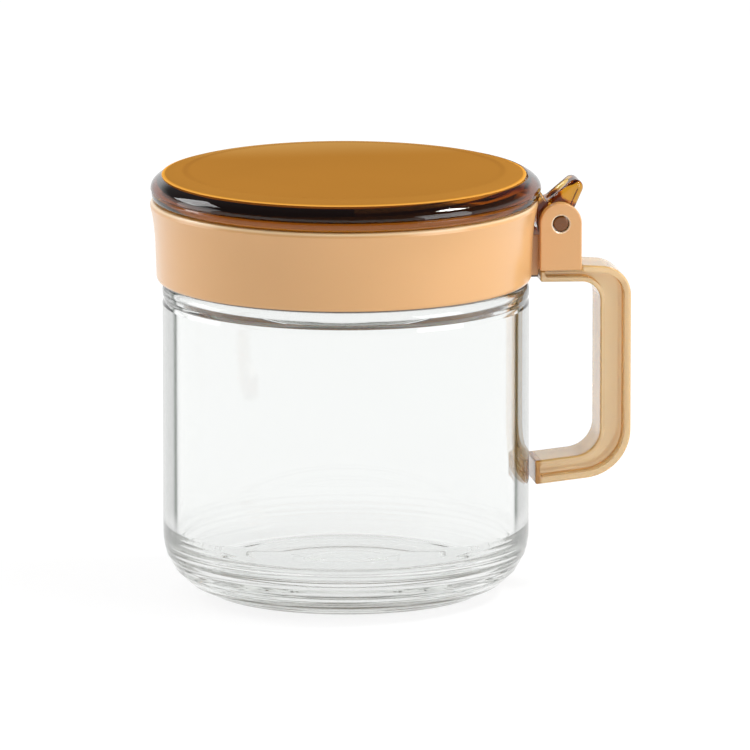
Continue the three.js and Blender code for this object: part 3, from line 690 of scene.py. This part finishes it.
def glassMaterial():
    # Clear glass with painted shade: its colour darkens with the slant to the eye where its walls bend the
    # light most, and less so in the heel
    material, tree, shader, vector = newMaterial("clearGlass", **{
        "Transmission Weight": 1.0, "IOR": 1.5, "Roughness": 0.0})
    f = glassFinish
    slow = addNode(tree, "ShaderNodeMapping")
    slow.inputs["Scale"].default_value = (1, 1, 0.35)
    tree.links.new(vector, slow.inputs["Vector"])
    bumpInto(tree, shader, noiseNode(tree, slow.outputs[0], 70, 1.5, 0.4), f["ripple"], 0.6)
    places = useGroup(tree, jarPlaces, Vector=vector)
    facing = addNode(tree, "ShaderNodeLayerWeight").outputs["Facing"]
    between = rangeNode(tree, places["Height"], 2 * mm, 16 * mm, 35 * mm, 48 * mm)
    outer = rangeNode(tree, mathNode(tree, "SUBTRACT", places["Radius"], between), -0.4 * mm, 0.4 * mm)
    bent = mathNode(tree, "MULTIPLY", rangeNode(tree, facing, *f["line"], smooth=True),
                    rangeNode(tree, facing, *f["rest"], 1.0, f["restLevel"], smooth=True))
    bent = mathNode(tree, "ADD", bent, rangeNode(tree, facing, *f["rim"], 0, f["rimLevel"]))
    inner = mathNode(tree, "SUBTRACT", 1, outer)
    grazed = mathNode(tree, "MULTIPLY", rangeNode(tree, facing, *f["grazed"]), inner)
    edge = mathNode(tree, "ADD", mathNode(tree, "MULTIPLY", bent, outer), grazed)
    heel = bandNode(tree, places["Height"], f["heelFrom"], f["heelLevel"], 1.0)
    edge = mathNode(tree, "MULTIPLY", edge, heel)
    tree.links.new(mixNode(tree, edge, f["face"], f["edge"]), shader.inputs["Base Color"])
    absorbingVolume(tree, f)
    return material


clearGlass = glassMaterial()
peachPlastic = peachMaterial()
amberPlastic = amberMaterial()
clearAmber = clearAmberMaterial("clearAmber", leverFinish)
rimAmber = clearAmberMaterial("rimAmber", rimFinish)
champagnePlastic = champagneMaterial()
brownPlastic = brownMaterial()
clearSilicone = siliconeMaterial()
turnedPiece = turnedTree()
screwThread = threadTree()
print("finishes and trees ready")


# Glass jar

def wavyArc(centre, radii, fromAngle, toAngle):
    # A moulded curve with faint waves that die away at both ends
    points = arcPoints(centre, radii, fromAngle, toAngle, 1.5)
    last = len(points) - 1
    waved = []
    for i, (r, z) in enumerate(points):
        swell = 1 + jar["wave"] * math.sin(i * 0.83) * math.sin(i * 0.29 + 0.6) * math.sin(math.pi * i / last)
        waved.append((centre[0] + (r - centre[0]) * swell, centre[1] + (z - centre[1]) * swell))
    return waved


def threadPiece(name, radius, foot, material):
    t = thread
    return runTree(name, screwThread, {
        "Radius": radius * mm, "Ridge": t["ridge"] * mm, "Foot": foot * mm, "Lead": t["lead"] * mm,
        "Sweep": math.radians(t["sweep"]), "Fade": t["fade"], "Starts": t["starts"], "Steps": t["steps"],
        "Finish": material})


def jarPiece():
    g = jar
    body, foot, groove = g["bodyRadius"], g["footRadius"], g["groove"]
    bore = body - g["wall"]
    floorRadius = bore - g["insideHeelRun"]
    quarter = math.pi / 2
    profile = roundedPath([
        (0, g["footRise"]), (foot - g["footWidth"] - 1.4, g["footRise"], g["footRound"]),
        (foot - g["footWidth"], 0, g["footRound"]), (foot - g["footRound"], 0)], isOpen=True)
    profile += wavyArc((foot, g["heel"]), (body - foot, g["heel"]), -quarter, 0)
    profile += roundedPath([
        (body, groove - 2 * g["grooveHalf"]), (body, groove - g["grooveHalf"], 0.6),
        (body - g["grooveDepth"], groove, 1.1), (body, groove + g["grooveHalf"], 0.6),
        (body, g["bead"], 2.2), (g["neck"], g["bead"], 0.8), (g["neck"], g["lip"], g["lipRound"]),
        (g["bore"], g["lip"], g["lipRound"]), (g["bore"], 87.6, 5), (bore, 80.6, 5), (bore, 75.6)], isOpen=True)
    profile += wavyArc((floorRadius, g["floor"] + g["insideHeelHeight"]),
                       (g["insideHeelRun"], g["insideHeelHeight"]), 0, -quarter)
    profile = [p for p in profile if p[0] > g["ring"] + g["ringPath"][0][0] or p[1] < 5]
    profile += [(g["ring"] + r, g["floor"] + z) for r, z in g["ringPath"]]
    profile += [(r, g["floor"] + z) for r, z in g["lensPath"]] + [(0, g["floor"] + g["crown"])]
    glass = turned("glassJarBody", profile, clearGlass, g["steps"])
    ridges = threadPiece("neckThread", g["neck"] + thread["neckDepth"], thread["foot"], clearGlass)
    return finished(combined(glass, [ridges], "UNION", "glassJar"))


# Collar with its hinge bracket

def bracketPiece():
    # The two ears, the block between them with the seat of the knuckle, and the spine that joins the collar
    h = hinge
    pinX, pinZ = h["pin"]
    left, right = pinX - h["earRadius"], pinX + h["earRadius"]
    earTop = pinZ + h["earRadius"]
    earOutline = roundedPath([
        (left, h["earFoot"], 0.5), (right, h["earFoot"], 0.5), (right, earTop, h["earRadius"]),
        (left, earTop, h["earRadius"])], stepAngle=6)
    earHalf = h["earThickness"] / 2
    ears = [plate(f"ear{i}", earOutline, earHalf, 0.4, peachPlastic, side * (h["earInner"] + earHalf))
            for i, side in enumerate((-1, 1))]
    seatLow = math.asin((h["spineHead"] - pinZ) / h["seatRadius"])
    seat = arcPoints(h["pin"], (h["seatRadius"], h["seatRadius"]), -math.pi / 2, -math.pi - seatLow, 6)
    blockOutline = [
        (left + 0.6, h["earFoot"] + 0.5), (right - 0.6, h["earFoot"] + 0.5), (right - 0.6, h["stepHead"]),
        (pinX, h["stepHead"])] + seat + [(left + 0.6, h["spineHead"])]
    block = plate("hingeBlock", blockOutline, h["earInner"] + 1.45, 0.15, peachPlastic)
    spineOutline = [
        (48.9, collar["foot"]), (52.3, collar["foot"]), (52.3, h["earFoot"]), (53.5, h["earFoot"]),
        (53.5, h["spineHead"]), (48.9, h["spineHead"])]
    spine = plate("hingeSpine", spineOutline, h["spineHalf"], 0.25, peachPlastic)
    return combined(block, ears + [spine], "UNION", "hingeBracket")


def boreFlares():
    # A cone on each ear that chamfers the mouth of the pin's bore
    h = hinge
    pinX, pinZ = h["pin"]
    face = h["earInner"] + h["earThickness"]
    wide = h["pinRadius"] + h["pinGap"] + h["boreChamfer"]
    flare = [(0, -0.5), (wide - 0.5, -0.5), (wide + 0.5, 0.5), (0, 0.5)]
    flares = []
    for side in (-1, 1):
        points = [(r, side * (z + face)) for r, z in flare[::side]]
        cone = turned(f"boreFlare{side}", points, peachPlastic, 64)
        place = Matrix.Translation((pinX * mm, 0, pinZ * mm))
        cone.data.transform(place @ Matrix.Rotation(-math.pi / 2, 4, "X"))
        flares.append(cone)
    return flares


def collarPiece():
    c, h = collar, hinge
    outside = roundedPath([
        (49.7, c["foot"]), (51.05, c["foot"], 1.6), (51.5, 98.7, 60), (52.05, 103.7, 25), (52.85, 107.2, 0.7),
        (52.3, c["crest"], 0.7), (51.4, c["crest"])], isOpen=True, stepAngle=6)
    inside = roundedPath([
        (50.6, c["crest"]), (c["seat"], 104.4, 3), (c["seat"], c["deckTop"], 0.5),
        (c["deckBore"], c["deckTop"], 0.5), (c["deckBore"], c["deckUnderside"], 0.5),
        (46.9, c["deckUnderside"]), (46.9, 97), (c["bore"], 95.9), (c["bore"], c["foot"] + 0.6),
        (c["bore"] + 0.6, c["foot"])], isOpen=True)
    profile = [(r, z, 1) for r, z in outside] + [(r, z, 0) for r, z in inside]
    profile += profile[:1]
    shell = turned("collarShell", profile, peachPlastic, c["steps"], c["shift"])
    whole = combined(shell, [bracketPiece()], "UNION")
    pinX = h["pin"][0]
    slotOutline = [(51.5, 100.6), (pinX, 100.6), (pinX, 111), (51.5, 111)]
    slot = plate("armSlot", slotOutline, h["earInner"], 0.1, peachPlastic)
    bore = rod("pinBore", h["pin"], h["pinRadius"] + h["pinGap"], 12, peachPlastic)
    flares = boreFlares()
    tongueOutline = [(54.9, 86), (62.1, 86), (62.1, 92.7), (54.9, 92.7)]
    tongueSlot = plate("tongueSlot", tongueOutline, handle["tongueHalf"] + handle["gap"], 0.1, peachPlastic)
    whole = combined(whole, [slot, bore, tongueSlot] + flares, "DIFFERENCE", "collarWithBracket")
    ridges = threadPiece("collarThread", c["bore"] + thread["collarDepth"],
                         thread["foot"] - thread["collarDrop"], peachPlastic)
    return finished(combined(whole, [ridges], "UNION", "collarWithBracket"))


# Handle

def handlePiece():
    h = handle
    earRight = hinge["pin"][0] + hinge["earRadius"] + h["gap"]
    top = hinge["earFoot"] - h["gap"]
    corners = [
        (h["end"], 28.9, 0.6), (h["outer"], 31.6, 13.5), (h["outer"], 88.5, 8.2), (earRight, 89.6, 0.6),
        (earRight, top), (52.6, top), (52.6, 85.2, 0.6), (h["inner"], 84.9, 5.2), (h["inner"], 37.3, 7.6),
        (h["end"], 35.5, 0.6)]
    insets = [h["outerFlange"]] * 3 + [0, -2, h["endWall"]] + [h["innerFlange"]] * 3 + [h["endWall"]]
    body = plate("handleBody", roundedPath(corners, stepAngle=6), h["half"], h["edge"], champagnePlastic)
    recess = roundedPath(insetCorners(corners, insets, h["recessRound"]), stepAngle=6)
    depth = h["half"] - h["webHalf"] + 2
    cuts = [plate(f"recess{i}", recess, depth / 2, h["recessRound"] / 2, champagnePlastic,
                  side * (h["webHalf"] + depth / 2)) for i, side in enumerate((-1, 1))]
    body = combined(body, cuts, "DIFFERENCE")
    tongueOutline = [(55.2, 86), (61.8, 86), (61.8, 92.4), (55.2, 92.4)]
    tongue = plate("handleTongue", tongueOutline, h["tongueHalf"], 0.2, champagnePlastic)
    return finished(combined(body, [tongue], "UNION", "openHandle"), softEdge=h["softEdge"])


# Hinge pin
def pinPiece():
    h = hinge
    pinX, pinZ = h["pin"]
    reach = h["earInner"] + h["earThickness"] - h["pinSink"]
    corner = h["pinRound"]
    half = arcPoints((h["pinRadius"] - corner, reach - corner), (corner, corner), 0, math.pi / 2, 15)
    half += [(0.6, reach - 0.02), (0, reach)]
    profile = [(r, -z) for r, z in reversed(half)] + half
    piece = turned("hingePin", profile, brownPlastic, 48)
    piece.data.transform(Matrix.Translation((pinX * mm, 0, pinZ * mm)) @ quarterTurn)
    return finished(piece)


# Lid

def crownArc(fromAngle, toAngle, stepAngle):
    # The round shoulder of the lid, from its widest height up to the flat top
    d = lid
    radii = d["radius"] - d["flat"], d["top"] - d["widest"]
    return arcPoints((d["flat"], d["widest"]), radii, fromAngle, toAngle, stepAngle)


def lidPiece():
    # The flat cover with its thin skirt behind the rim, which is painted dark as shade and bright at its foot
    # as glow, and the plug ring under it
    d = lid
    under = d["top"] - d["plate"]
    crown = crownArc(math.radians(d["edgeTurn"] + 2), math.pi / 2, 3)
    skirtOuter = d["rimBore"] - 0.05
    skirtInner = skirtOuter - d["skirt"]
    skirtFoot = d["foot"] + 0.2
    cover = roundedPath([
        (0, under), (skirtInner, under, 0.3), (skirtInner, skirtFoot), (skirtOuter, skirtFoot),
        (skirtOuter, crown[0][1], 0.4), crown[0]], isOpen=True)
    cover += crown[1:] + [(0, d["top"])]
    disc = turned("lidDisc", [(r, z, 1) for r, z in cover], amberPlastic, d["steps"], d["shift"])
    inner, outer = d["plugOuter"] - d["plugWall"], d["plugOuter"]
    groove = outer - d["sealDepth"]
    sealTop = d["sealHeight"] + d["sealRoom"]
    head = under + 0.3
    plugProfile = roundedPath([
        (inner, d["plugFoot"], 0.4), (outer, d["plugFoot"], 0.4), (outer, d["sealHeight"]),
        (groove, d["sealHeight"]), (groove, sealTop), (outer, sealTop), (outer, head), (inner, head)])
    plug = turned("lidPlug", plugProfile + plugProfile[:1], amberPlastic, d["steps"])
    return finished(combined(disc, [plug], "UNION", "flipLid"))


def clearRimPiece():
    # The thick clear rim round the cover
    d = lid
    rimProfile = roundedPath([
        (d["rimBore"], d["foot"], 0.4), (d["footRadius"], d["foot"], 1.3), (d["footRadius"], 110.7, 0.5),
        (d["footRadius"] - 0.3, 111.2), (d["radius"], d["widest"])], isOpen=True)
    rimProfile = [(d["rimBore"], 112)] + rimProfile[1:] + crownArc(0, math.radians(d["edgeTurn"]), 4)[1:]
    rimProfile += [(d["rimBore"], rimProfile[-1][1] - 0.3), rimProfile[0]]
    return finished(turned("clearRim", rimProfile, rimAmber, d["steps"], d["shift"]))


def leverPiece():
    # The hinge arm as a thin plate, and the thumb paddle on it with thick rolled edges
    d = lid
    pin = hinge["pin"]
    pinX = pin[0]
    tipX, tipZ = d["lever"]
    rootX, rootZ = d["leverRoot"]
    reach, knuckle, tip = d["armReach"], d["knuckle"], d["leverRadius"]
    lean, slope = math.radians(d["leverLean"]), math.radians(d["leverSlope"])
    armOutline = [(50.9, 109.3), (pinX - reach, 109.3)]
    armOutline += arcPoints(pin, (reach, reach), math.pi, 1.5 * math.pi, 6)
    armOutline += arcPoints(pin, (knuckle, reach), -math.pi / 2, 0, 6)[1:]
    armOutline += [(pinX + knuckle, 102.6), (62.0, 104.0), (55.2, 106.2)]
    armOutline += roundedPath([(60, 110), (rootX, rootZ, 0.7), (51.5, 112.2)], isOpen=True)[1:]
    arm = plate("lidArm", armOutline, d["armHalf"], 0.5, clearAmber)
    paddleOutline = roundedPath([
        (pinX + 1, 101.5), (pinX + 4.8, 101.5), (62.3, 104.6, 1.5), (tipX + tip * math.cos(lean), tipZ)],
        isOpen=True)[:-1]
    paddleOutline += arcPoints(d["lever"], (tip, tip), lean, slope + math.pi / 2, 8)
    paddleOutline += [(rootX, rootZ + 0.1)]
    paddle = plate("leverPaddle", paddleOutline, d["armHalf"], d["leverRoll"], clearAmber, edgeSteps=6)
    bore = rod("knuckleBore", pin, hinge["pinRadius"] + hinge["pinGap"], 9, clearAmber)
    dish = turned("leverDish", arcPoints((0, 0), (1000, 1000), -math.pi / 2, math.pi / 2, 6), clearAmber, 48)
    place = Matrix.Translation((rootX * mm, 0, rootZ * mm)) @ Matrix.Rotation(-slope, 4, "Y")
    size = Matrix.Diagonal([half * mm for half in d["dish"]] + [1])
    dish.data.transform(place @ Matrix.Translation((d["dishMiddle"] * mm, 0, 0)) @ size)
    whole = combined(arm, [paddle], "UNION")
    return finished(combined(whole, [bore, dish], "DIFFERENCE", "thumbLever"))


# Seals
def sealPiece(name, ring):
    inner, outer, foot, corner = ring["inner"], ring["outer"], ring["foot"], ring["corner"]
    top = foot + ring["height"]
    path = roundedPath([
        (inner, foot, corner), (outer, foot, corner), (outer, top, corner), (inner, top, corner)], stepAngle=30)
    return finished(turned(name, path + path[:1], clearSilicone, 120))


pieces = [
    (jarPiece(), "jar", ["glass_jar"], "clear_glass"),
    (sealPiece("neckGasket", gasket), "neck_ring", ["neck_gasket"], "gasket_silicone"),
    (collarPiece(), "collar_set", ["collar"], "peach_plastic"),
    (handlePiece(), "collar_set", ["handle"], "champagne_plastic"),
    (pinPiece(), "collar_set", ["hinge_pin"], "brown_plastic"),
    (lidPiece(), "lid_set", ["lid"], "amber_plastic"),
    (clearRimPiece(), "lid_set", ["lid"], "amber_plastic"),
    (leverPiece(), "lid_set", ["lid"], "amber_plastic"),
    (sealPiece("lidSeal", seal), "lid_set", ["lid_seal"], "seal_silicone"),
]
for piece, body, nodes, slot in pieces:
    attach(piece, body)
    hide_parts(*nodes)
    print(piece.name, len(piece.data.polygons), "faces")


# Camera, floor and light
studio = {
    "azimuth": -8.5, "elevation": 11.1, "distance": 3.8, "lens": 668.5, "aimRight": 7.94, "aimHeight": 59.6,
    "lampAim": 60, "ambient": 0.58, "ceiling": 0.12, "ceilingInGlass": 0.92, "horizon": (0.22, 0.4),
    "floorColor": 0.86, "floorGlow": 0.84, "floorSeen": 1.05, "floorHalf": 6.0, "floorDrop": 0.1,
}
lamps = {  # name: azimuth from the camera to the left, elevation, distance, width, height, power
    "rightKey": (-62, 16, 1.4, 0.8, 1.0, 8.5),
    "leftFill": (100, 10, 1.3, 0.7, 1.0, 4.0),
    "leftTop": (118, 36, 1.3, 0.55, 0.5, 4.2),
    "rightTop": (-93, 53, 1.3, 0.3, 0.24, 7.0),
}


def addCamera():
    azimuth, elevation = math.radians(studio["azimuth"]), math.radians(studio["elevation"])
    right = Vector((math.cos(azimuth), math.sin(azimuth), 0))
    level = Vector((-math.sin(azimuth), math.cos(azimuth), 0))
    forward = level * math.cos(elevation) - Vector((0, 0, math.sin(elevation)))
    aim = right * studio["aimRight"] * mm + Vector((0, 0, studio["aimHeight"] * mm))
    data = bpy.data.cameras.new("photoCamera")
    data.lens = studio["lens"]
    camera = bpy.data.objects.new("photoCamera", data)
    camera.location = aim - forward * studio["distance"]
    camera.rotation_euler = forward.to_track_quat("-Z", "Y").to_euler()
    scene.collection.objects.link(camera)
    scene.camera = camera
    return right, level


def addLamps(right, level):
    aim = Vector((0, 0, studio["lampAim"] * mm))
    for name, (around, up, distance, width, height, power) in lamps.items():
        side, rise = math.radians(around), math.radians(up)
        flat = -level * math.cos(side) - right * math.sin(side)
        way = flat * math.cos(rise) + Vector((0, 0, math.sin(rise)))
        data = bpy.data.lights.new(name, "AREA")
        data.shape = "RECTANGLE"
        data.size, data.size_y, data.energy = width, height, power
        lamp = bpy.data.objects.new(name, data)
        lamp.location = aim + way * distance
        lamp.rotation_euler = (-way).to_track_quat("-Z", "Y").to_euler()
        lamp.visible_camera = lamp.visible_transmission = False
        scene.collection.objects.link(lamp)


def addWorld():
    # White behind everything, a darker ceiling for gloss and glass, and an even grey for matt surfaces
    world = bpy.data.worlds.new("studioWhite")
    world.use_nodes = True
    tree = world.node_tree
    back = tree.nodes["Background"]
    back.inputs["Color"].default_value = (1, 1, 1, 1)
    path = addNode(tree, "ShaderNodeLightPath").outputs
    upwards = placeNode(tree, addNode(tree, "ShaderNodeTexCoord").outputs["Generated"])["Z"]
    strength = path["Is Camera Ray"]
    for ray, ceiling in (("Is Glossy Ray", "ceiling"), ("Is Transmission Ray", "ceilingInGlass")):
        falling = rangeNode(tree, upwards, *studio["horizon"], 1.0, studio[ceiling], smooth=True)
        strength = mathNode(tree, "MAXIMUM", strength, mathNode(tree, "MULTIPLY", path[ray], falling))
    seen = mathNode(tree, "MAXIMUM", path["Is Camera Ray"], path["Is Glossy Ray"])
    matt = mathNode(tree, "SUBTRACT", 1, mathNode(tree, "MAXIMUM", seen, path["Is Transmission Ray"]))
    ambient = mathNode(tree, "MULTIPLY", matt, studio["ambient"])
    tree.links.new(mathNode(tree, "ADD", strength, ambient), back.inputs["Strength"])
    scene.world = world


def addFloor():
    mesh = bpy.data.meshes.new("studioFloor")
    half = studio["floorHalf"]
    corners = [(-half, -half, 0), (half, -half, 0), (half, half, 0), (-half, half, 0)]
    mesh.from_pydata(corners, [], [(0, 1, 2, 3)])
    mesh.transform(Matrix.Translation((0, 0, -studio["floorDrop"] * mm)))
    material, tree, shader, _ = newMaterial("studioFloor", **{"Roughness": 0.9, "Specular IOR Level": 0.0})
    path = addNode(tree, "ShaderNodeLightPath").outputs
    seen = mathNode(tree, "MAXIMUM", path["Is Camera Ray"], path["Is Glossy Ray"])
    seen = mathNode(tree, "MAXIMUM", seen, path["Is Transmission Ray"])
    matt, bright = studio["floorColor"], studio["floorSeen"] - studio["floorGlow"]
    tone = mixNode(tree, seen, (matt, matt, matt, 1), (bright, bright, bright, 1))
    tree.links.new(tone, shader.inputs["Base Color"])
    shader.inputs["Emission Color"].default_value = (1, 1, 1, 1)
    tree.links.new(mathNode(tree, "MULTIPLY", seen, studio["floorGlow"]), shader.inputs["Emission Strength"])
    mesh.materials.append(material)
    floor = meshObject("studioFloor", mesh)


right, level = addCamera()
addLamps(right, level)
addWorld()
addFloor()
scene.view_settings.view_transform = "Standard"
scene.cycles.max_bounces, scene.cycles.glossy_bounces, scene.cycles.transmission_bounces = 24, 20, 20
print("studio ready")
